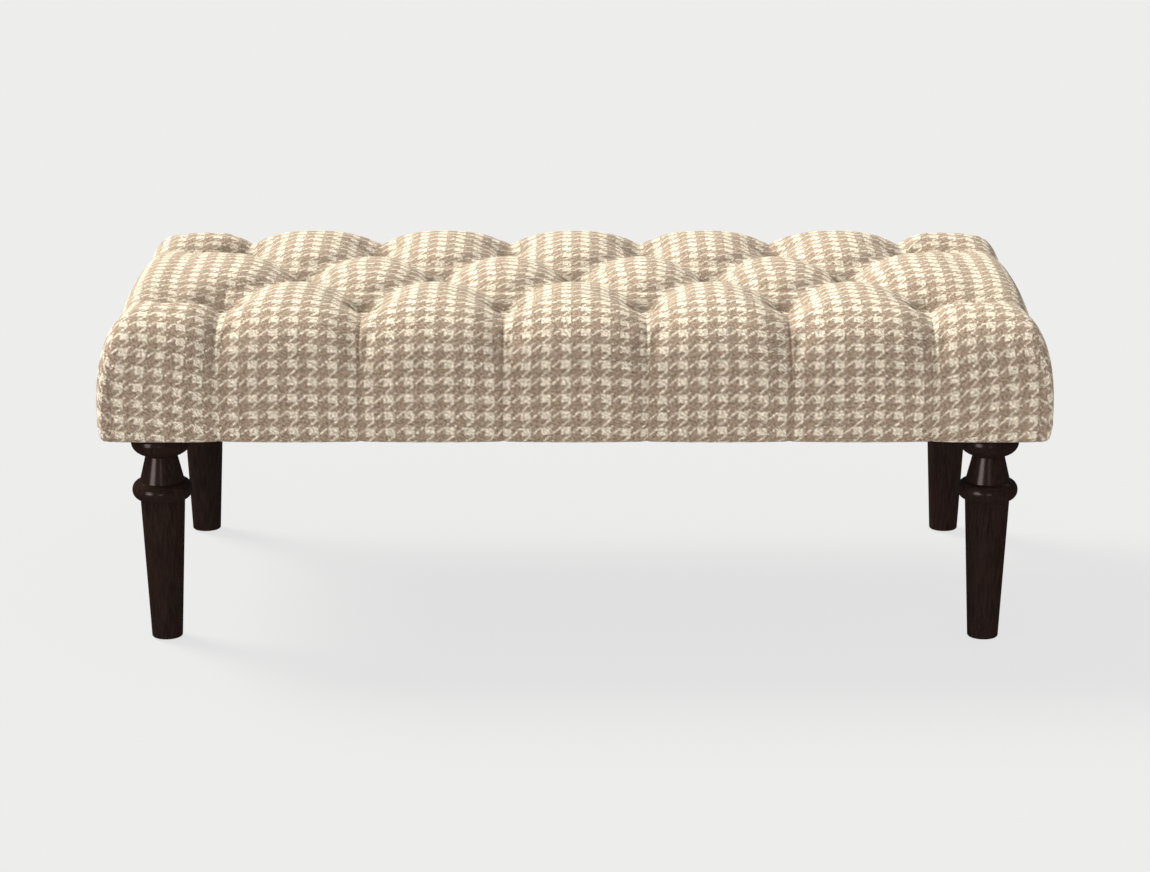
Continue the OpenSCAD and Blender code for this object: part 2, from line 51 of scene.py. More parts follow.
print("frame loaded, nodes:", len(nodes))

# Places that the frame gives, in metres like every length here
coverLow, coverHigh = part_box("cover")
halfLength = coverHigh.x
halfDepth = coverHigh.y
seatBottom = coverLow.z
seatTop = coverHigh.z
buttonNames = sorted(n for n in nodes if n.startswith("button_") and n != "button_eyes")


def middle(node):
    low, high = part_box(node)
    return (low + high) / 2


buttonPlaces = {name: middle(name) for name in buttonNames}
outerX = max(p.x for p in buttonPlaces.values())
rowY = max(p.y for p in buttonPlaces.values())
pitch = 2 * outerX / (sum(n.startswith("button_front") for n in buttonNames) - 1)
pleats = sorted({round(abs(p.x), 6) for n, p in buttonPlaces.items() if "middle" not in n})
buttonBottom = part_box("button_middle_3")[0].z
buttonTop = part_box("button_middle_3")[1].z


# Materials: each is a node tree built from small steps
class NodeMaker:
    def __init__(self, name):
        self.material = bpy.data.materials.new(name)
        self.material.use_nodes = True
        self.tree = self.material.node_tree
        self.tree.nodes.clear()
        self.output = self.tree.nodes.new("ShaderNodeOutputMaterial")
        self.shader = self.tree.nodes.new("ShaderNodeBsdfPrincipled")
        self.link(self.shader.outputs[0], self.output.inputs["Surface"])

    def link(self, source, target):
        self.tree.links.new(source, target)

    def feed(self, socket, value):
        if isinstance(value, bpy.types.NodeSocket):
            self.link(value, socket)
        else:
            socket.default_value = value

    def math(self, operation, a, b=0.0):
        step = self.tree.nodes.new("ShaderNodeMath")
        step.operation = operation
        self.feed(step.inputs[0], a)
        self.feed(step.inputs[1], b)
        return step.outputs[0]

    def add(self, a, b):
        return self.math("ADD", a, b)

    def subtract(self, a, b):
        return self.math("SUBTRACT", a, b)

    def multiply(self, a, b):
        return self.math("MULTIPLY", a, b)

    def offMiddle(self, value):  # distance from the middle of each whole turn
        return self.math("ABSOLUTE", self.subtract(self.math("FRACT", value), 0.5))

    def mixColour(self, share, a, b, mode="MIX"):
        step = self.tree.nodes.new("ShaderNodeMix")
        step.data_type = "RGBA"
        step.blend_type = mode
        self.feed(step.inputs[0], share)
        self.feed(step.inputs[6], a)
        self.feed(step.inputs[7], b)
        return step.outputs[2]

    def ramp(self, value, low, high, outLow=0.0, outHigh=1.0):
        step = self.tree.nodes.new("ShaderNodeMapRange")
        step.interpolation_type = "SMOOTHSTEP"
        step.inputs["From Min"].default_value = low
        step.inputs["From Max"].default_value = high
        step.inputs["To Min"].default_value = outLow
        step.inputs["To Max"].default_value = outHigh
        self.feed(step.inputs["Value"], value)
        return step.outputs[0]

    def coordinates(self, scale=(1, 1, 1)):
        source = self.tree.nodes.new("ShaderNodeTexCoord")
        mapping = self.tree.nodes.new("ShaderNodeMapping")
        mapping.inputs["Scale"].default_value = scale
        self.link(source.outputs["Object"], mapping.inputs["Vector"])
        return mapping.outputs[0]

    def noise(self, vector, scale, detail=3.0, roughness=0.55, distortion=0.0):
        step = self.tree.nodes.new("ShaderNodeTexNoise")
        self.link(vector, step.inputs["Vector"])
        step.inputs["Scale"].default_value = scale
        step.inputs["Detail"].default_value = detail
        step.inputs["Roughness"].default_value = roughness
        step.inputs["Distortion"].default_value = distortion
        return step.outputs[0]

    def bump(self, height, distance, strength):
        step = self.tree.nodes.new("ShaderNodeBump")
        step.inputs["Distance"].default_value = distance
        step.inputs["Strength"].default_value = strength
        self.link(height, step.inputs["Height"])
        return step.outputs[0]

    def finish(self, colour, roughness, normal=None, **fixed):
        self.feed(self.shader.inputs["Base Color"], colour)
        self.feed(self.shader.inputs["Roughness"], roughness)
        if normal is not None:
            self.link(normal, self.shader.inputs["Normal"])
        for name, number in fixed.items():
            self.shader.inputs[name.replace("_", " ")].default_value = number
        return self.material


# Houndstooth, on the flat cloth.
cloth = {
    "repeatAcross": 0.025,
    "repeatUp": 0.0218,
    "shiftAcross": -0.0014,
    "shiftUp": -0.0098,
    "lightShare": 0.48,  # in cream
    "edgeSoft": 0.05,
    "toothTip": (0.03, 0.21),  # a slanted tooth narrows to its end here, short of the next check
    "toothHalf": 0.082,  # its half width
    "toothRoot": (0.6, 0.98),  # where it meets its own check, rootSpread wider
    "rootSpread": 0.03,
    "corner": (0.47, 0.53),  # a check's upper right corner, on the slanted line through it
    "nubHalf": 0.07,  # half width of the spread at that corner
    "spikeHalf": 0.055,  # and of the short spike that leaves it
    "spikeEnd": (0.64, 0.76),
    "yarnLean": 0.28,  # of yarn ends: long down the twill, short across it
    "raggedScale": 560,
    "raggedness": 0.0042,
    "breakScale": 90,
    "breakRange": (0.36, 0.56),
    "breakLeast": 0.6,
    "twillPitch": 0.0024,
    "twillRange": (0.12, 0.38),
    "dashScale": 400,
    "dashRange": (0.38, 0.62),
    "fleckScale": 400,
    "fleckRange": (0.40, 0.60),
    "heatherScale": 150,
    "heatherRange": (0.35, 0.65),
    "patchScale": 9,
    "leastTone": 0.18,
    "tones": {"twill": 0.52, "fleck": 0.56, "dash": 0.48, "patch": 0.14},
    "reliefs": {"twill": 0.6, "fleck": 0.5, "dash": 0.4},
    "reliefDepth": 0.0007,
    "reliefStrength": 0.8,
    "fibreShare": 0.2,
    "cream": (0.690, 0.632, 0.512, 1),
    "taupe": (0.272, 0.208, 0.150, 1),
    "olive": (0.36, 0.31, 0.20, 1),
    "pink": (0.46, 0.30, 0.25, 1),
    # painted shade: the dark colour, and how much of it is painted into the tufts and onto slopes
    # towards the front
    "paintedShadeColour": (0.10, 0.07, 0.045, 1),
    "dipShade": 0.46,
}


def makeHoundstooth(name):
    m = NodeMaker(name)
    flatPlace = m.tree.nodes.new("ShaderNodeUVMap")
    flatPlace.uv_map = "clothFlat"
    even = flatPlace.outputs[0]
    parts = m.tree.nodes.new("ShaderNodeSeparateXYZ")
    m.link(even, parts.inputs[0])
    u, v = parts.outputs[0], parts.outputs[1]
    combined = m.tree.nodes.new("ShaderNodeCombineXYZ")
    m.link(m.add(u, v), combined.inputs[0])
    m.link(m.multiply(m.subtract(u, v), cloth["yarnLean"]), combined.inputs[1])
    lean = combined.outputs[0]

    # Checks where cream crosses cream, with ragged edges
    ragged = m.noise(lean, cloth["raggedScale"], detail=1.5, roughness=0.6)
    ragged = m.multiply(m.subtract(ragged, 0.5), cloth["raggedness"])
    s = m.math("DIVIDE", m.add(m.add(u, ragged), cloth["shiftAcross"]), cloth["repeatAcross"])
    t = m.math("DIVIDE", m.add(m.subtract(v, ragged), cloth["shiftUp"]), cloth["repeatUp"])
    soft = cloth["edgeSoft"]

    def band(value, half):  # 1 near the middle of each whole turn
        return m.ramp(m.offMiddle(value), half - soft, half + soft, 1.0, 0.0)

    warp = band(s, cloth["lightShare"] / 2)
    weft = band(t, cloth["lightShare"] / 2)

    # Slanted teeth where cream crosses taupe, and spikes at the checks' corners
    across = m.subtract(s, t)
    along = m.math("FRACT", m.add(s, t))
    width = m.ramp(along, *cloth["toothTip"], -soft, cloth["toothHalf"])
    width = m.add(width, m.ramp(along, *cloth["toothRoot"], 0.0, cloth["rootSpread"]))
    tooth = m.ramp(m.subtract(m.offMiddle(across), width), -soft, soft, 1.0, 0.0)
    diagonal = m.add(across, 0.5)
    pastCorner = m.ramp(along, *cloth["corner"])
    nub = m.multiply(band(diagonal, cloth["nubHalf"]), pastCorner)
    broken = m.noise(lean, cloth["breakScale"], detail=1.0, roughness=0.5)
    broken = m.ramp(broken, *cloth["breakRange"], cloth["breakLeast"], 1.0)
    pick = m.tree.nodes.new("ShaderNodeMix")
    m.link(m.multiply(m.math("MAXIMUM", tooth, nub), broken), pick.inputs[0])
    m.link(m.math("MINIMUM", warp, weft), pick.inputs[2])
    m.link(m.math("MAXIMUM", warp, weft), pick.inputs[3])
    spike = m.multiply(band(diagonal, cloth["spikeHalf"]), pastCorner)
    spike = m.multiply(spike, m.ramp(along, *cloth["spikeEnd"], 1.0, 0.0))
    light = m.math("MAXIMUM", pick.outputs[0], m.multiply(spike, broken))

    # Twill lines the other way, and flecked yarn
    slant = m.math("DIVIDE", m.add(u, v), cloth["twillPitch"])
    dash = m.noise(lean, cloth["dashScale"], detail=1.0, roughness=0.6)
    fleck = m.noise(even, cloth["fleckScale"], detail=1.0, roughness=0.8)
    heather = m.noise(even, cloth["heatherScale"], detail=2.0, roughness=0.6)
    layers = {
        "twill": m.ramp(m.offMiddle(slant), *cloth["twillRange"]),
        "dash": m.ramp(dash, *cloth["dashRange"]),
        "fleck": m.ramp(fleck, *cloth["fleckRange"]),
        "patch": m.noise(even, cloth["patchScale"], detail=2.0),
    }

    def weighed(weights, total=0.0):
        for layer, weight in weights.items():
            total = m.add(total, m.multiply(layers[layer], weight))
        return total

    colour = m.mixColour(light, cloth["taupe"], cloth["cream"])
    fibres = m.ramp(heather, *cloth["heatherRange"])
    fibres = m.mixColour(fibres, cloth["olive"], cloth["pink"])
    colour = m.mixColour(cloth["fibreShare"], colour, fibres)
    shade = weighed(cloth["tones"], cloth["leastTone"])
    tone = m.tree.nodes.new("ShaderNodeCombineColor")
    for channel in range(3):
        m.link(shade, tone.inputs[channel])
    colour = m.mixColour(1.0, colour, tone.outputs[0], "MULTIPLY")
    # painted shade, read from a point attribute: the cloth is darkened deep in the tufts and on
    # slopes towards the front
    paintedShade = m.tree.nodes.new("ShaderNodeAttribute")
    paintedShade.attribute_name = "paintedShade"
    paintedShadeShare = m.multiply(paintedShade.outputs["Fac"], cloth["dipShade"])
    colour = m.mixColour(paintedShadeShare, colour, cloth["paintedShadeColour"])
    normal = m.bump(weighed(cloth["reliefs"]), cloth["reliefDepth"], cloth["reliefStrength"])
    return m.finish(colour, roughness=0.95, normal=normal, Sheen_Weight=0.07,
                    Sheen_Roughness=0.5, Specular_IOR_Level=0.12)


legStain = {
    "grainStretch": (110, 110, 6),
    "poreStretch": (300, 300, 10),
    "cloudStretch": (9, 9, 3),
    "noiseScale": 5.0,
    "grainRange": (0.35, 0.68),
    "poreRange": (0.5, 0.7),
    "poreShare": 0.6,
    "cloudRange": (0.35, 0.7),
    "cloudShare": 0.35,
    "dark": (0.0100, 0.0048, 0.0035, 1),
    "light": (0.0240, 0.0130, 0.0095, 1),
    "pore": (0.0045, 0.0024, 0.0018, 1),
    "cloud": (0.021, 0.0092, 0.0066, 1),
}


def makeLegWood(name):
    m = NodeMaker(name)
    scale = legStain["noiseScale"]
    grain = m.noise(m.coordinates(legStain["grainStretch"]), scale, detail=5.0, roughness=0.62)
    pore = m.noise(m.coordinates(legStain["poreStretch"]), scale, detail=3.0, roughness=0.5)
    cloud = m.noise(m.coordinates(legStain["cloudStretch"]), scale, detail=2.0)
    share = m.ramp(grain, *legStain["grainRange"])
    colour = m.mixColour(share, legStain["dark"], legStain["light"])
    share = m.ramp(pore, *legStain["poreRange"], outHigh=legStain["poreShare"])
    colour = m.mixColour(share, colour, legStain["pore"])
    share = m.ramp(cloud, *legStain["cloudRange"], outHigh=legStain["cloudShare"])
    colour = m.mixColour(share, colour, legStain["cloud"])
    roughness = m.ramp(grain, 0.3, 0.7, outLow=0.42, outHigh=0.55)
    normal = m.bump(m.add(grain, pore), distance=0.00025, strength=0.2)
    return m.finish(colour, roughness, normal, Specular_IOR_Level=0.1, Coat_Weight=0.9,
                    Coat_Roughness=0.2)


def makePaleWood(name, pale, dark, stretch):
    m = NodeMaker(name)
    rings = m.noise(m.coordinates(stretch), scale=4.0, detail=4.0, roughness=0.6, distortion=0.6)
    fleck = m.noise(m.coordinates((400, 400, 400)), scale=1.0, detail=2.0)
    colour = m.mixColour(m.ramp(rings, 0.35, 0.65), pale, dark)
    colour = m.mixColour(m.ramp(fleck, 0.45, 0.7, outHigh=0.25), colour, dark)
    roughness = m.ramp(rings, 0.3, 0.7, outLow=0.6, outHigh=0.75)
    return m.finish(colour, roughness, m.bump(rings, distance=0.0004, strength=0.4))


def makeSteel(name, tint):
    m = NodeMaker(name)
    mottle = m.noise(m.coordinates(), scale=320, detail=3.0)
    dullness = 0.72
    dull = tuple(dullness * c for c in tint[:3]) + (1,)
    colour = m.mixColour(m.ramp(mottle, 0.35, 0.7), tint, dull)
    roughness = m.ramp(mottle, 0.3, 0.7, outLow=0.28, outHigh=0.42)
    normal = m.bump(mottle, distance=0.0001, strength=0.2)
    return m.finish(colour, roughness, normal, Metallic=1.0)


def makeFibre(name, pale, dark, scale, depth):
    m = NodeMaker(name)
    fibres = m.noise(m.coordinates(), scale, detail=5.0, roughness=0.7, distortion=0.8)
    colour = m.mixColour(m.ramp(fibres, 0.35, 0.7), dark, pale)
    normal = m.bump(fibres, depth, strength=0.6)
    return m.finish(colour, roughness=0.9, normal=normal, Specular_IOR_Level=0.2)


def makePlastic(name, colour, worn):
    m = NodeMaker(name)
    mould = m.noise(m.coordinates(), scale=700, detail=2.0)
    scuff = m.noise(m.coordinates(), scale=90, detail=4.0)
    tone = m.mixColour(m.ramp(scuff, 0.5, 0.75, outHigh=0.6), colour, worn)
    roughness = m.ramp(scuff, 0.3, 0.7, outLow=0.45, outHigh=0.65)
    return m.finish(tone, roughness, m.bump(mould, distance=0.0001, strength=0.3))


houndstooth = makeHoundstooth("houndstooth")
finishes = {
    "frame_wood": makePaleWood(
        "sawnSoftwood", (0.62, 0.44, 0.25, 1), (0.44, 0.28, 0.14, 1), (3, 60, 60)),
    "plywood": makePaleWood(
        "plywoodSheet", (0.66, 0.49, 0.29, 1), (0.5, 0.34, 0.18, 1), (4, 30, 200)),
    "block_wood": makePaleWood(
        "hardwoodBlock", (0.5, 0.3, 0.15, 1), (0.34, 0.19, 0.09, 1), (40, 40, 5)),
    "leg_wood": makeLegWood("espressoStain"),
    "glide_plastic": makePlastic("blackNylon", (0.02, 0.02, 0.02, 1), (0.06, 0.06, 0.06, 1)),
    "plated_steel": makeSteel("zincPlate", (0.6, 0.61, 0.63, 1)),
    "screw_steel": makeSteel("yellowPlate", (0.68, 0.52, 0.22, 1)),
    "foam": makeFibre(
        "firmFoam", (0.78, 0.7, 0.42, 1), (0.6, 0.52, 0.28, 1), scale=450, depth=0.0006),
    "wadding": makeFibre(
        "softWadding", (0.85, 0.84, 0.8, 1), (0.66, 0.65, 0.6, 1), scale=160, depth=0.002),
    "dust_cloth": makeFibre(
        "blackSpunCloth", (0.03, 0.03, 0.03, 1), (0.012, 0.012, 0.012, 1), scale=900, depth=0.0002),
    "twine": makeFibre(
        "waxedTwine", (0.62, 0.55, 0.42, 1), (0.42, 0.36, 0.26, 1), scale=900, depth=0.0003),
    "cover_cloth": houndstooth,
    "button_cloth": houndstooth,
}


def dress(piece, material):
    piece.data.materials.clear()
    piece.data.materials.append(material)


slotOf = {s["node"]: s["material_slot"] for s in frame["record"]["subparts"]}
for nodeName, nodeObject in nodes.items():
    dress(nodeObject, finishes[slotOf[nodeName]])
print("materials done:", len(finishes))


# The seat's surface, over places in plan
seat = {
    "endRound": 0.067,  # reach of the rounding over each end
    "longRound": 0.1265,  # and over the front and the back
    "widest": seatBottom + 0.035,
    "roundPower": 2.6,
    "cornerPower": 2.45,
    "cornerRise": 6.0,
    "pillowPower": 2.43,
    "valleySoft": 0.043,
    "tuftDepth": 0.0308,
    "pitDepth": 0.0090,
    "pitReach": 0.0135,
    "pleatDepth": 0.0042,
    "cornerWide": 0.128,
    "cornerDeep": 0.238,
    "dentDepth": 0.005,  # of the hollow near each corner
    "dentX": 0.572,
    "dentY": 0.215,
    "dentWide": 0.026,
    "dentLong": 0.05,
    "tuck": 0.006,  # of the side's lower edge, inwards
    "tuckPower": 3,
    "edgeRound": 0.0015,
    "edgePower": 14,
    "foldWidth": 0.0042,  # half the width of a pleat's groove
    "foldDepth": 0.0046,
    "endFoldDepth": 0.0016,
    "foldFrom": 0.03,  # outside the outer buttons
    "foldGrow": 0.06,
    "groovePower": 1.25,
    "seamX": 0.5940,  # line of the corner seams, on the front and the back
    "seamTop": 0.375,
    "seamDepth": 0.0046,
    "seamWidth": 0.0030,
    "seamLead": 0.02,  # above seamTop, where the groove begins
    "seamGrow": 0.03,
    "seamFace": 0.9,  # of halfDepth, where the front and the back begin
    "faceGrow": 0.01,
    "cutLead": 0.035,  # above seamTop, where the flat cloth is cut
    "hem": 0.028,
    "clothThick": 0.0015,
    "spacing": 0.0068,
    "spare": 0.15,  # of a spacing, let pass before another line is put in
    "arcSteps": 4001,
    "turnSteps": 61,
    "sideRows": 5,
    "hemRows": 3,
}
crownHeight = seatTop - seat["widest"]


def valley(turns):  # 1 on a valley's line, 0 on a pillow's crown
    away = 2 * np.abs((turns + 0.5) % 1.0 - 0.5)
    soft = seat["valleySoft"]
    away = (np.sqrt(away**2 + soft**2) - soft) / (math.sqrt(1 + soft**2) - soft)
    return np.clip(1 - away, 0, 1) ** seat["pillowPower"]


def loneValley(away, width):
    return valley(np.clip(away, 0, width / 2) / width)


def pleatLine(way):  # a tuft's depth eases to a pleat's on the way to the outline
    left = 1 - np.clip(way, 0, 1)
    return seat["tuftDepth"] * left + seat["pleatDepth"] * (1 - left)


def toButton(x, y):
    return np.min([np.hypot(x - abs(p.x), y - abs(p.y)) for p in buttonPlaces.values()], axis=0)


def toPleat(x):
    return np.min([np.abs(x - p) for p in pleats], axis=0)


def tuftDepthAt(x, y):
    x, y = np.abs(x), np.abs(y)
    wayX = (x - outerX) / (halfLength - outerX)
    wayY = (y - rowY) / (halfDepth - rowY)
    a, b = x / pitch, y / (2 * rowY)
    inner = seat["tuftDepth"] * (valley(a + b) + valley(a - b)) / 2
    front = pleatLine(wayY) * valley(a - 0.5)
    end = pleatLine(wayX) * valley(b - 0.5)
    corner = np.maximum(pleatLine(wayY) * loneValley(x - outerX, seat["cornerWide"]),
                        pleatLine(wayX) * loneValley(y - rowY, seat["cornerDeep"]))
    depth = np.where(x <= outerX, np.where(y <= rowY, inner, front),
                     np.where(y <= rowY, end, corner))
    dent = np.exp(-((x - seat["dentX"]) / seat["dentWide"]) ** 2
                  - ((y - seat["dentY"]) / seat["dentLong"]) ** 2)
    pit = np.exp(-((toButton(x, y) / seat["pitReach"]) ** 2))
    return depth + seat["dentDepth"] * dent + seat["pitDepth"] * pit


def groove(away, wide):
    return np.clip(1 - np.abs(away) / wide, 0, 1) ** seat["groovePower"]


def pleatGroove(x, y):  # narrow folds that run from the outer buttons down the sides
    x, y = np.abs(x), np.abs(y)
    pastX, pastY = x - outerX, y - rowY
    longWay = np.clip((pastY - seat["foldFrom"]) / seat["foldGrow"], 0, 1) * (y > rowY)
    endWay = np.clip((pastX - seat["foldFrom"]) / seat["foldGrow"], 0, 1) * (x > outerX)
    onLong = seat["foldDepth"] * longWay * groove(toPleat(x), seat["foldWidth"])
    onEnd = seat["endFoldDepth"] * endWay * groove(pastY, seat["foldWidth"])
    return np.maximum(onLong * (pastY > pastX), onEnd * (pastX > pastY))


def seamGroove(x, y, z):
    below = np.clip((seat["seamTop"] + seat["seamLead"] - z) / seat["seamGrow"], 0, 1)
    onFace = np.clip((np.abs(y) - seat["seamFace"] * halfDepth) / seat["faceGrow"], 0, 1)
    fromSeam = np.abs(x) - seat["seamX"]
    return seat["seamDepth"] * below * onFace * groove(fromSeam, seat["seamWidth"])


def intoRounding(x, y):  # for each axis, 0 where the rounding starts and 1 at the outline
    dx = np.clip((x - halfLength + seat["endRound"]) / seat["endRound"], 0, 1)
    dy = np.clip((y - halfDepth + seat["longRound"]) / seat["longRound"], 0, 1)
    return dx, dy


def crownAt(q):
    return (1 - q ** seat["roundPower"]) ** (1 / seat["roundPower"])


def seatSurface(x, y):
    dx, dy = intoRounding(x, y)
    q = np.maximum(dx, dy)
    k = seat["cornerPower"] + seat["cornerRise"] * q**3
    size = np.maximum((dx**k + dy**k) ** (1 / k), 1e-12)
    share = np.where(q > 0, q / size, 1.0)
    h = crownAt(q)
    sideX, sideY = dx ** (k - 1), dy ** (k - 1)
    length = np.maximum(np.hypot(sideX, sideY), 1e-12)
    out = 2 * q ** (seat["roundPower"] - 1) / (seat["endRound"] + seat["longRound"])
    up = h ** (seat["roundPower"] - 1) / crownHeight
    normal = np.stack([sideX / length * out, sideY / length * out, up], -1)
    normal /= np.linalg.norm(normal, axis=-1, keepdims=True)
    placeX = np.where(dx > 0, halfLength - seat["endRound"] + seat["endRound"] * dx * share, x)
    placeY = np.where(dy > 0, halfDepth - seat["longRound"] + seat["longRound"] * dy * share, y)
    place = np.stack([placeX, placeY, seat["widest"] + crownHeight * h], -1)
    return place - normal * (tuftDepthAt(x, y) + pleatGroove(x, y))[..., None], normal


# Lines of the net along one axis, evenly spaced along the surface, with more of them at the marks
def netLines(half, reach, marks, offsets):
    q = np.linspace(0, 1, seat["arcSteps"])
    steps = np.hypot(np.diff(reach * q), np.diff(crownHeight * crownAt(q)))
    arc = np.concatenate([[0], np.cumsum(steps)])
    level = half - reach
    wholeArc = level + arc[-1]

    def toArc(place):
        if place <= level:
            return place
        return level + float(np.interp((place - level) / reach, q, arc))

    stops = {0.0, wholeArc}
    for mark in marks:
        for offset in offsets:
            stops.add(toArc(mark + offset))
            if mark > offset:
                stops.add(toArc(mark - offset))
    stops = sorted(s for s in stops if 0 <= s <= wholeArc)
    lines = [0.0]
    for low, high in zip(stops, stops[1:]):
        if high - low < 1e-4:
            continue
        count = max(1, math.ceil((high - low) / seat["spacing"] - seat["spare"]))
        lines += [low + (high - low) * (k + 1) / count for k in range(count)]
    lines = np.array(lines)
    return np.where(lines <= level, lines, level + reach * np.interp(lines - level, arc, q)), lines


foldSteps = (0, 0.0018, 0.0042, 0.0085)
xLines, xArc = netLines(halfLength, seat["endRound"], pleats + [seat["seamX"]], foldSteps)
yLines, yArc = netLines(halfDepth, seat["longRound"], [rowY], foldSteps)
nx, ny = len(xLines), len(yLines)
print("net lines:", nx, ny)

gridX, gridY = np.meshgrid(xLines, yLines, indexing="ij")
netPlaces, netNormals = seatSurface(gridX, gridY)

# Rows down the side, each along the front to the corner and then along the end, then the hem
rimIndex = [(i, ny - 1) for i in range(nx)] + [(nx - 1, j) for j in range(ny - 2, -1, -1)]
rimPlaces = np.array([netPlaces[i, j] for i, j in rimIndex])
rimSides = np.array([netNormals[i, j] for i, j in rimIndex])
rimSides[:, 2] = 0
rimSides /= np.linalg.norm(rimSides, axis=1, keepdims=True)
rows = []
for k in range(1, seat["sideRows"] + 1):
    t = k / seat["sideRows"]
    inset = (seat["tuck"] - seat["edgeRound"]) * t ** seat["tuckPower"]
    inset += seat["edgeRound"] * t ** seat["edgePower"]
    row = rimPlaces - rimSides * inset
    row[:, 2] = seat["widest"] + (seatBottom - seat["widest"]) * t
    rows.append(row)
bottomRow = rows[-1]
hemX = (halfLength - seat["hem"]) / (halfLength - seat["tuck"])
hemY = (halfDepth - seat["hem"]) / (halfDepth - seat["tuck"])
for k in range(1, seat["hemRows"] + 1):
    t = k / seat["hemRows"]
    row = bottomRow * (1 - t) + bottomRow * np.array([hemX, hemY, 1]) * t
    row[:, 2] = seatBottom
    rows.append(row)

# Points, faces and flat-cloth points of a quarter
points = np.concatenate([netPlaces.reshape(-1, 3)] + rows)
netCount = nx * ny
ringCount = len(rimIndex)


def netId(i, j):
    return i * ny + j


def rowId(k, c):
    return netId(*rimIndex[c]) if k == 0 else netCount + (k - 1) * ringCount + c


seamColumn = int(np.argmin(np.abs(xLines - seat["seamX"])))
seamRow = int(np.argmax(netPlaces[seamColumn, :, 2] < seat["seamTop"] + seat["cutLead"]))
quads, sides = [], []
for i in range(nx - 1):
    for j in range(ny - 1):
        quads.append((netId(i, j), netId(i + 1, j), netId(i + 1, j + 1), netId(i, j + 1)))
        sides.append(i >= seamColumn)
for k in range(len(rows)):
    for c in range(ringCount - 1):
        quads.append((rowId(k, c), rowId(k, c + 1), rowId(k + 1, c + 1), rowId(k + 1, c)))
        sides.append(c >= seamColumn)
quads = np.array(quads)
sides = np.array(sides)

# The seam's points have a second place in the flat cloth, for the faces beyond it
seamPoints = [netId(seamColumn, j) for j in range(seamRow + 1, ny)]
seamPoints += [rowId(k, seamColumn) for k in range(1, len(rows) + 1)]
second = {p: len(points) + n for n, p in enumerate(seamPoints)}
flatQuads = quads.copy()
for q in np.nonzero(sides)[0]:
    flatQuads[q] = [second.get(p, p) for p in quads[q]]
flatSource = np.concatenate([np.arange(len(points)), np.array(seamPoints, int)])
solid = points[flatSource]


# Flat place of a corner point of the end panel: how far down the end, how far round the outline
def wrapCorner(x, y):
    dx, dy = intoRounding(x, y)
    q = np.maximum(np.maximum(dx, dy), 1e-6)
    part = np.where(dx >= dy, dy / q, 2 - dx / q)
    way = part[..., None] * np.linspace(0, 1, seat["turnSteps"])
    alongX = np.clip(2 - way, 0, 1) * q[..., None]
    alongY = np.clip(way, 0, 1) * q[..., None]
    k = (seat["cornerPower"] + seat["cornerRise"] * q**3)[..., None]
    share = q[..., None] / (alongX**k + alongY**k) ** (1 / k)
    turned = np.hypot(np.diff(seat["endRound"] * alongX * share),
                      np.diff(seat["longRound"] * alongY * share)).sum(-1)
    down = np.interp(halfLength - seat["endRound"] * (1 - q), xLines, xArc)
    return np.stack([down, np.minimum(y, halfDepth - seat["longRound"]) + turned], -1)


flatCloth = {
    "blendX": 0.03,  # before the seam and its upper end, where the corner's layout comes in
    "blendY": 0.05,
    "turns": 2400,
    "overshoot": 1.5,
    "diagonals": 0.12,  # their stiffness, where the edges have 1
    "droop": 0.155,
}

# First guess of the flat cloth: the front's layout, the end's, and a mix over the corner
levelX = halfLength - seat["endRound"]
levelY = halfDepth - seat["longRound"]
flatFront = np.stack([np.where(gridX > levelX, netPlaces[..., 0], gridX),
                      np.interp(gridY, yLines, yArc)], -1)
flatEnd = np.stack([np.interp(gridX, xLines, xArc),
                    np.where(gridY > levelY, netPlaces[..., 1], gridY)], -1)
bend = np.clip(np.maximum(gridY - levelY, 0) / seat["longRound"]
               - np.maximum(gridX - levelX, 0) / seat["endRound"] + 0.5, 0, 1)[..., None]
netFlat = flatFront * bend + flatEnd * (1 - bend)
flatWrap = wrapCorner(gridX, gridY)
flatEnd[seamColumn:, seamRow:] = flatWrap[seamColumn:, seamRow:]
blendX, blendY = flatCloth["blendX"], flatCloth["blendY"]
ease = (np.clip((gridX - seat["seamX"] + blendX) / blendX, 0, 1)
        * np.clip((gridY - yLines[seamRow] + blendY) / blendY, 0, 1))
ease = (ease**2 * (3 - 2 * ease))[..., None]
netFlat = netFlat * (1 - ease) + flatWrap * ease
for j in range(seamRow + 1, ny):
    netFlat[:seamColumn + 1, j] = flatFront[:seamColumn + 1, j]
    netFlat[seamColumn + 1:, j] = flatEnd[seamColumn + 1:, j]
flatFront = flatFront.reshape(-1, 2)
flatEnd = flatEnd.reshape(-1, 2)
flat = np.zeros((len(solid), 2))
flat[:netCount] = netFlat.reshape(-1, 2)
for p, n in second.items():
    if p < netCount:
        flat[n] = flatEnd[p]
dropLine = np.array([rimPlaces[0]] + [row[0] for row in rows])
dropped = np.concatenate([[0], np.cumsum(np.linalg.norm(np.diff(dropLine, axis=0), axis=1))])
for k in range(1, len(rows) + 1):
    for c in range(ringCount):
        p = rowId(k, c)
        base = netId(*rimIndex[c])
        onEnd = flatEnd[base] + [dropped[k], 0]
        flat[p] = flatFront[base] + [0, dropped[k]] if c <= seamColumn else onEnd
        if p in second:
            flat[second[p]] = onEnd

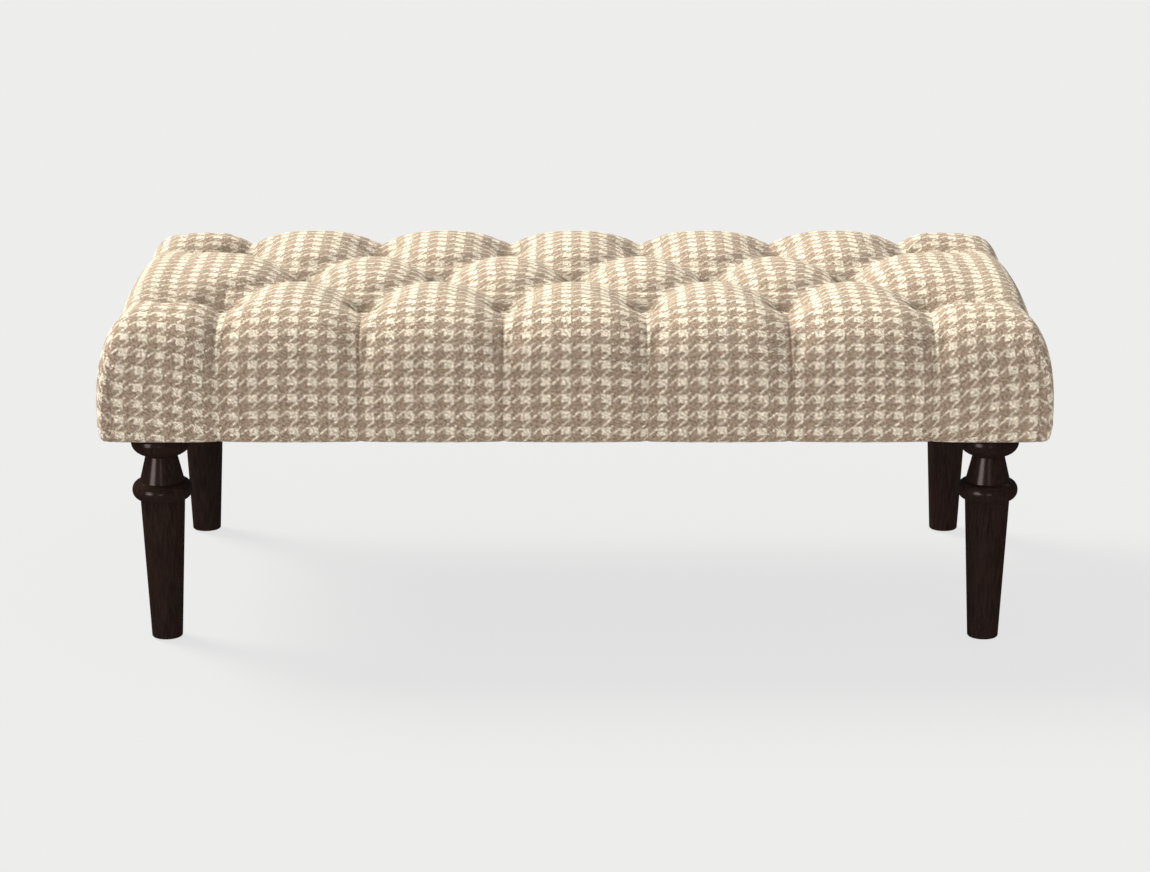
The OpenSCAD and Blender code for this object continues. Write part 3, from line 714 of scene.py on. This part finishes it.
# Then springs along the edges and the diagonals let it ease, as woven cloth does
pairs = ([0, 1], [1, 2], [2, 3], [3, 0], [0, 2], [1, 3])
springs = np.concatenate([flatQuads[:, pair] for pair in pairs])
strength = np.repeat([1.0, flatCloth["diagonals"]], [4 * len(quads), 2 * len(quads)])
rest = np.linalg.norm(solid[springs[:, 0]] - solid[springs[:, 1]], axis=1)
total = np.bincount(springs.ravel(), np.repeat(strength, 2), len(flat))[:, None]
onMiddleX = np.abs(solid[:, 0]) < 1e-7
onMiddleY = np.abs(solid[:, 1]) < 1e-7
for turn in range(flatCloth["turns"]):
    gap = flat[springs[:, 1]] - flat[springs[:, 0]]
    size = np.maximum(np.linalg.norm(gap, axis=1), 1e-9)
    pull = gap * (0.5 * strength * (size - rest) / size)[:, None]
    move = np.stack([np.bincount(springs[:, 0], pull[:, axis], len(flat))
                     - np.bincount(springs[:, 1], pull[:, axis], len(flat))
                     for axis in (0, 1)], -1)
    flat += flatCloth["overshoot"] * move / total
    flat[onMiddleX, 0] = 0
    flat[onMiddleY, 1] = 0
print("flat cloth eased, mean error %.4f" % float(np.mean(np.abs(size - rest) / rest)))

# On the end panels the rows droop towards the corners
outward = np.clip(flat[:, 0] - outerX, 0, halfLength - outerX)
sideways = np.clip(flat[:, 1] / rowY, 0, 1)
flat[:, 1] += flatCloth["droop"] * outward * sideways**2 * (3 - 2 * sideways)

# Four quarters make the whole net
verts, faces, loopFlat = [], [], []
for signX, signY in ((1, 1), (-1, 1), (-1, -1), (1, -1)):
    start = len(verts)
    verts += [(signX * p[0], signY * p[1], p[2]) for p in points]
    for quad, flatQuad in zip(quads, flatQuads):
        order = range(4) if signX * signY > 0 else range(3, -1, -1)
        faces.append([start + int(quad[k]) for k in order])
        loopFlat += [(signX * flat[flatQuad[k], 0], signY * flat[flatQuad[k], 1]) for k in order]
mesh = bpy.data.meshes.new("seatCover")
mesh.from_pydata(verts, [], faces)
layer = mesh.uv_layers.new(name="clothFlat")
layer.data.foreach_set("uv", np.array(loopFlat, np.float32).ravel())
seatCover = bpy.data.objects.new("seatCover", mesh)
scene.collection.objects.link(seatCover)
work = bmesh.new()
work.from_mesh(mesh)
bmesh.ops.remove_doubles(work, verts=work.verts, dist=1e-6)
work.to_mesh(mesh)
work.free()
mesh.shade_smooth()
print("cover net:", len(mesh.vertices), "points", len(mesh.polygons), "faces")


def readVertices(source, what):
    flatList = np.zeros(3 * len(source.vertices), np.float32)
    source.vertices.foreach_get(what, flatList)
    return flatList.reshape(-1, 3).astype(float)


def writePoints(places):
    mesh.vertices.foreach_set("co", places.astype(np.float32).ravel())
    mesh.update()


# A little pressure puffs the cloth between the places where it is held
puff = {
    "deflate": 0.0022,
    "pressure": 4.0,
    "frames": 20,
    "cap": 0.0045,
    "quality": 5,
    "mass": 0.3,
    "stretch": 18.0,
    "shear": 6.0,
    "bending": 0.4,
    "shrink": -0.012,
    "buttonReach": 0.016,  # held fully inside buttonReach less buttonFade
    "buttonFade": 0.006,
    "pleatHalf": 0.0024,
    "pleatPast": 0.01,
    "endPleatHold": 0.8,
    "hemHeight": 0.022,
    "hemFade": 0.02,
    "valleyFrom": 0.42,  # of the tufts' depth
    "valleyFade": 0.1,
    "valleyHold": 0.75,
    "endFrom": 0.045,  # beyond the outer buttons
    "endFade": 0.05,
    "endHold": 0.6,
}
netShape = readVertices(mesh, "co")
outX, outY = np.abs(netShape[:, 0]), np.abs(netShape[:, 1])
onPleat = (outY > rowY) & (outX < outerX + puff["pleatPast"])
onPleat &= toPleat(outX) < puff["pleatHalf"]
onEndPleat = (outX > outerX) & (np.abs(outY - rowY) < puff["pleatHalf"])
insideDepth = tuftDepthAt(np.minimum(outX, outerX), np.minimum(outY, rowY)) / seat["tuftDepth"]
inValley = np.clip((insideDepth - puff["valleyFrom"]) / puff["valleyFade"], 0, 1)
inValley *= (outX <= outerX) & (outY <= rowY)
held = np.maximum.reduce([
    np.clip((puff["buttonReach"] - toButton(outX, outY)) / puff["buttonFade"], 0, 1),
    1.0 * onPleat,
    puff["endPleatHold"] * onEndPleat,
    np.clip((seatBottom + puff["hemHeight"] - netShape[:, 2]) / puff["hemFade"], 0, 1),
    puff["valleyHold"] * inValley,
    puff["endHold"] * np.clip((outX - outerX - puff["endFrom"]) / puff["endFade"], 0, 1),
])
sink = puff["deflate"] * (1 - held)
writePoints(netShape - readVertices(mesh, "normal") * sink[:, None])
pins = seatCover.vertex_groups.new(name="held")
for level in np.unique(np.round(held, 1)):
    if level > 0:
        chosen = [int(v) for v in np.nonzero(np.round(held, 1) == level)[0]]
        pins.add(chosen, float(level), "REPLACE")
sim = seatCover.modifiers.new("puff", "CLOTH")
sim.settings.quality = puff["quality"]
sim.settings.mass = puff["mass"]
sim.settings.tension_stiffness = puff["stretch"]
sim.settings.compression_stiffness = puff["stretch"]
sim.settings.shear_stiffness = puff["shear"]
sim.settings.bending_stiffness = puff["bending"]
sim.settings.use_pressure = True
sim.settings.uniform_pressure_force = puff["pressure"]
sim.settings.effector_weights.gravity = 0
sim.settings.vertex_group_mass = "held"
sim.settings.pin_stiffness = 1.0
sim.settings.shrink_min = puff["shrink"]
sim.collision_settings.use_collision = False
sim.point_cache.frame_start = 1
sim.point_cache.frame_end = puff["frames"]
for frameNumber in range(1, puff["frames"] + 1):
    scene.frame_set(frameNumber)
evaluated = seatCover.evaluated_get(bpy.context.evaluated_depsgraph_get())
moved = readVertices(evaluated.to_mesh(), "co") - netShape
evaluated.to_mesh_clear()
seatCover.modifiers.remove(sim)
scene.frame_set(1)
howFar = np.linalg.norm(moved, axis=1)
print("cloth settled, mean move %.4f most %.4f" % (howFar.mean(), howFar.max()))
moved *= (np.minimum(howFar, puff["cap"]) / np.maximum(howFar, 1e-9))[:, None]
writePoints(netShape + moved)
seatCover.vertex_groups.clear()

# Painted shade: the cloth's colour is made a little darker deep in the tufts and on the pillows'
# slopes towards the front, where less light falls
paintedShadeTone = {
    "deepFrom": 0.5,  # of the tufts' depth
    "deepWeight": 0.75,
    "slopeFrom": 0.06,
    "slopeFade": 0.24,
    "slopeWeight": 0.72,
    "frontTurn": 0.35,
    "leftTurn": 0.5,  # slopes towards the light on the left stay paler
    "leftLeast": 0.3,
    "rise": 0.03,  # above the widest line, where it starts
    "riseFade": 0.05,
}
depths = tuftDepthAt(netShape[:, 0], netShape[:, 1]) / seat["tuftDepth"]
turned = readVertices(mesh, "normal")
toFront = (np.clip(-turned[:, 1] / paintedShadeTone["frontTurn"], 0, 1)
           * np.clip(1 + turned[:, 0] / paintedShadeTone["leftTurn"], paintedShadeTone["leftLeast"], 1))
deepShade = np.clip((depths - paintedShadeTone["deepFrom"]) / (1 - paintedShadeTone["deepFrom"]), 0, 1)
slopeShade = np.clip((depths - paintedShadeTone["slopeFrom"]) / paintedShadeTone["slopeFade"], 0, 1) * toFront
paintedShadeShares = np.clip(paintedShadeTone["deepWeight"] * deepShade + paintedShadeTone["slopeWeight"] * slopeShade, 0, 1)
height = netShape[:, 2] - seat["widest"]
paintedShadeShares *= np.clip((height - paintedShadeTone["rise"]) / paintedShadeTone["riseFade"], 0, 1)
mesh.attributes.new("paintedShade", "FLOAT", "POINT").data.foreach_set("value", paintedShadeShares.astype(np.float32))

# Seams and small gathers round the buttons come after the cloth has settled
gathers = {
    "depth": 0.0007,
    "count": 11,
    "from": 0.011,
    "grow": 0.006,
    "to": 0.05,
    "fade": 0.036,
    "varyX": 40,  # so that no two tufts gather alike
    "varyY": 25,
}
shape = readVertices(mesh, "co")
normals = readVertices(mesh, "normal")
depth = seamGroove(shape[:, 0], shape[:, 1], shape[:, 2])
for place in buttonPlaces.values():
    away = np.hypot(shape[:, 0] - place.x, shape[:, 1] - place.y)
    turn = np.arctan2(shape[:, 1] - place.y, shape[:, 0] - place.x)
    ring = (np.clip((away - gathers["from"]) / gathers["grow"], 0, 1)
            * np.clip((gathers["to"] - away) / gathers["fade"], 0, 1))
    phase = gathers["count"] * turn + gathers["varyX"] * place.x + gathers["varyY"] * place.y
    depth += gathers["depth"] * ring * (0.5 + 0.5 * np.sin(phase)) ** 2
writePoints(shape - normals * depth[:, None])

# The underside closes the cushion behind its hem, in strips from front to back
work = bmesh.new()
work.from_mesh(mesh)
edge = [e for e in work.edges if e.is_boundary]
lip = bmesh.ops.extrude_edge_only(work, edges=edge)
for v in [g for g in lip["geom"] if isinstance(g, bmesh.types.BMVert)]:
    v.co.z += seat["clothThick"]
loop = [e for e in work.edges if e.is_boundary]
backSide = [v for v in {v for e in loop for v in e.verts} if v.co.y < 1e-5]


def mirrored(v):
    return min(backSide, key=lambda w: abs(w.co.x - v.co.x) + abs(w.co.y + v.co.y))


for e in loop:
    if max(v.co.y for v in e.verts) < 1e-5:
        continue
    first, last = e.verts
    strip = work.faces.new(list(dict.fromkeys([first, last, mirrored(last), mirrored(first)])))
    strip.normal_update()
    if strip.normal.z > 0:
        strip.normal_flip()
work.to_mesh(mesh)
work.free()
mesh.shade_smooth()
smooth = seatCover.modifiers.new("smooth", "SUBSURF")
smooth.levels = smooth.render_levels = 1

dress(seatCover, houndstooth)
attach(seatCover, "root")
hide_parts("cover", "padding")
print("seat cover done")

# One covered button, then a copy for each place
button = {
    "radius": 0.0125,
    "sides": 32,
    "baseInset": 0.0012,
    "baseThick": 0.0016,
    "profile": (  # share of the height, share of the radius
        (0.36, 1.0), (0.52, 0.985), (0.68, 0.9), (0.82, 0.74), (0.92, 0.52), (0.98, 0.28),
        (1.0, 0.08)),
    "gatherDepth": 0.00035,
    "gatherCount": 16,
    "gatherFrom": 0.6,  # of the radius
    "gatherTop": 0.55,  # of the height
    "lean": 0.0004,
    "wander": 0.002,  # of the check, from button to button
}
rise = buttonTop - buttonBottom
bpy.ops.object.select_all(action="DESELECT")
bpy.ops.mesh.primitive_cylinder_add(
    vertices=button["sides"], radius=button["radius"] - button["baseInset"],
    depth=button["baseThick"], location=(0, 0, button["baseThick"] / 2))
pattern = bpy.context.object
bpy.ops.object.mode_set(mode="EDIT")


def pickFaces(want):
    bpy.ops.mesh.select_mode(type="FACE")
    bpy.ops.mesh.select_all(action="DESELECT")
    view = bmesh.from_edit_mesh(pattern.data)
    for face in view.faces:
        face.select_set(want(face))
    view.select_flush_mode()
    bmesh.update_edit_mesh(pattern.data)


def growTop(climb, radius):
    bpy.ops.mesh.extrude_region_move(TRANSFORM_OT_translate={"value": (0, 0, climb)})
    reach = max(v.co.x for v in bmesh.from_edit_mesh(pattern.data).verts if v.select)
    bpy.ops.transform.resize(value=(radius / reach, radius / reach, 1),
                             center_override=(0, 0, 0))


pickFaces(lambda f: f.normal.z > 0.9)
reached = button["baseThick"]
for upShare, outShare in button["profile"]:
    growTop(upShare * rise - reached, outShare * button["radius"])
    reached = upShare * rise
bpy.ops.object.mode_set(mode="OBJECT")
for v in pattern.data.vertices:
    turn = math.atan2(v.co.y, v.co.x)
    away = math.hypot(v.co.x, v.co.y)
    if away > button["gatherFrom"] * button["radius"] and v.co.z < button["gatherTop"] * rise:
        pull = 1 - button["gatherDepth"] / away * (1 + math.cos(button["gatherCount"] * turn))
        v.co.x *= pull
        v.co.y *= pull
bpy.ops.object.modifier_add(type="SUBSURF")
pattern.modifiers[-1].levels = pattern.modifiers[-1].render_levels = 1
bpy.ops.object.modifier_apply(modifier=pattern.modifiers[-1].name)
pattern.data.uv_layers[0].name = "clothFlat"
pattern.data.shade_smooth()

for number, (name, place) in enumerate(sorted(buttonPlaces.items())):
    piece = pattern.copy()
    piece.data = pattern.data.copy()
    piece.name = "covered_" + name
    scene.collection.objects.link(piece)
    lean = button["lean"] * math.sin(7 * number)
    for v in piece.data.vertices:
        v.co.z += buttonBottom + lean * v.co.x / button["radius"]
        v.co.x += place.x
        v.co.y += place.y

    # A cream check lies on top
    startU = cloth["repeatAcross"] / 2 - cloth["shiftAcross"] - place.x
    startV = cloth["repeatUp"] / 2 - cloth["shiftUp"] - place.y
    startU += button["wander"] * math.sin(5 * number)
    startV += button["wander"] * math.cos(3 * number)
    for loop in piece.data.loops:
        at = piece.data.vertices[loop.vertex_index].co
        piece.data.uv_layers[0].data[loop.index].uv = (at.x + startU, at.y + startV)
    dress(piece, finishes["button_cloth"])
    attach(piece, "root")
    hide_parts(name)
bpy.data.objects.remove(pattern)
print("buttons done:", len(buttonPlaces))


# Studio
studio = {
    "floorSize": 80.0,
    "floorGlow": 0.728,
    "floorColour": (0.053, 0.053, 0.053, 1),
    "backdrop": 0.83,  # what the camera sees past the floor
    "ambient": 0.68,
    "gloss": 0.02,  # what the lacquer reflects, beside the lamps
}
bpy.ops.object.select_all(action="DESELECT")
bpy.ops.mesh.primitive_plane_add(size=studio["floorSize"], location=(0, 0, 0))
floor = bpy.context.object
floor.name = "studioFloor"
floorMaker = NodeMaker("paleFloor")
floorMaker.shader.inputs["Emission Color"].default_value = (1, 1, 1, 1)
floorMaker.shader.inputs["Emission Strength"].default_value = studio["floorGlow"]
dress(floor, floorMaker.finish(studio["floorColour"], roughness=0.9, Specular_IOR_Level=0.0))
floor.visible_glossy = False
world = bpy.data.worlds.new("studioWorld")
world.use_nodes = True
sky = world.node_tree
paths = sky.nodes.new("ShaderNodeLightPath")
seen = sky.nodes.new("ShaderNodeMix")
seen.inputs[2].default_value = studio["ambient"]
seen.inputs[3].default_value = studio["backdrop"]
sky.links.new(paths.outputs["Is Camera Ray"], seen.inputs[0])
shiny = sky.nodes.new("ShaderNodeMix")
shiny.inputs[3].default_value = studio["gloss"]
sky.links.new(paths.outputs["Is Glossy Ray"], shiny.inputs[0])
sky.links.new(seen.outputs[0], shiny.inputs[2])
sky.nodes["Background"].inputs[0].default_value = (1, 1, 1, 1)
sky.links.new(shiny.outputs[0], sky.nodes["Background"].inputs[1])
scene.world = world


# Angles in degrees: azimuth 0 is behind the camera and + is to the right, soft is the sun's width
def addSun(name, power, azimuth, elevation, soft, tint, inGloss):
    light = bpy.data.lights.new(name, "SUN")
    light.energy = power
    light.color = tint
    light.angle = math.radians(soft)
    lamp = bpy.data.objects.new(name, light)
    lamp.rotation_euler = (math.radians(90 - elevation), 0, math.radians(azimuth))
    lamp.visible_glossy = inGloss
    scene.collection.objects.link(lamp)


addSun("topLight", power=7.2, azimuth=-125, elevation=42, soft=28,
       tint=(1, 0.98, 0.91), inGloss=False)
addSun("leftSoftbox", power=0.66, azimuth=-46, elevation=6, soft=26,
       tint=(1, 0.80, 0.77), inGloss=True)
addSun("frontSoftbox", power=0.74, azimuth=12, elevation=14, soft=40,
       tint=(1, 0.99, 0.97), inGloss=False)
addSun("frontStrip", power=0.07, azimuth=0, elevation=5, soft=13,
       tint=(1, 0.85, 0.82), inGloss=True)

camera = {"place": (0, -4.3475, 1.4173), "tilt": 15.545, "lens": 102.66, "sensor": 36}
cameraData = bpy.data.cameras.new("photoCamera")
cameraData.lens = camera["lens"]
cameraData.sensor_width = camera["sensor"]
cameraObject = bpy.data.objects.new("photoCamera", cameraData)
cameraObject.location = camera["place"]
cameraObject.rotation_euler = (math.radians(90 - camera["tilt"]), 0, 0)
scene.collection.objects.link(cameraObject)
scene.camera = cameraObject
scene.view_settings.view_transform = "Standard"
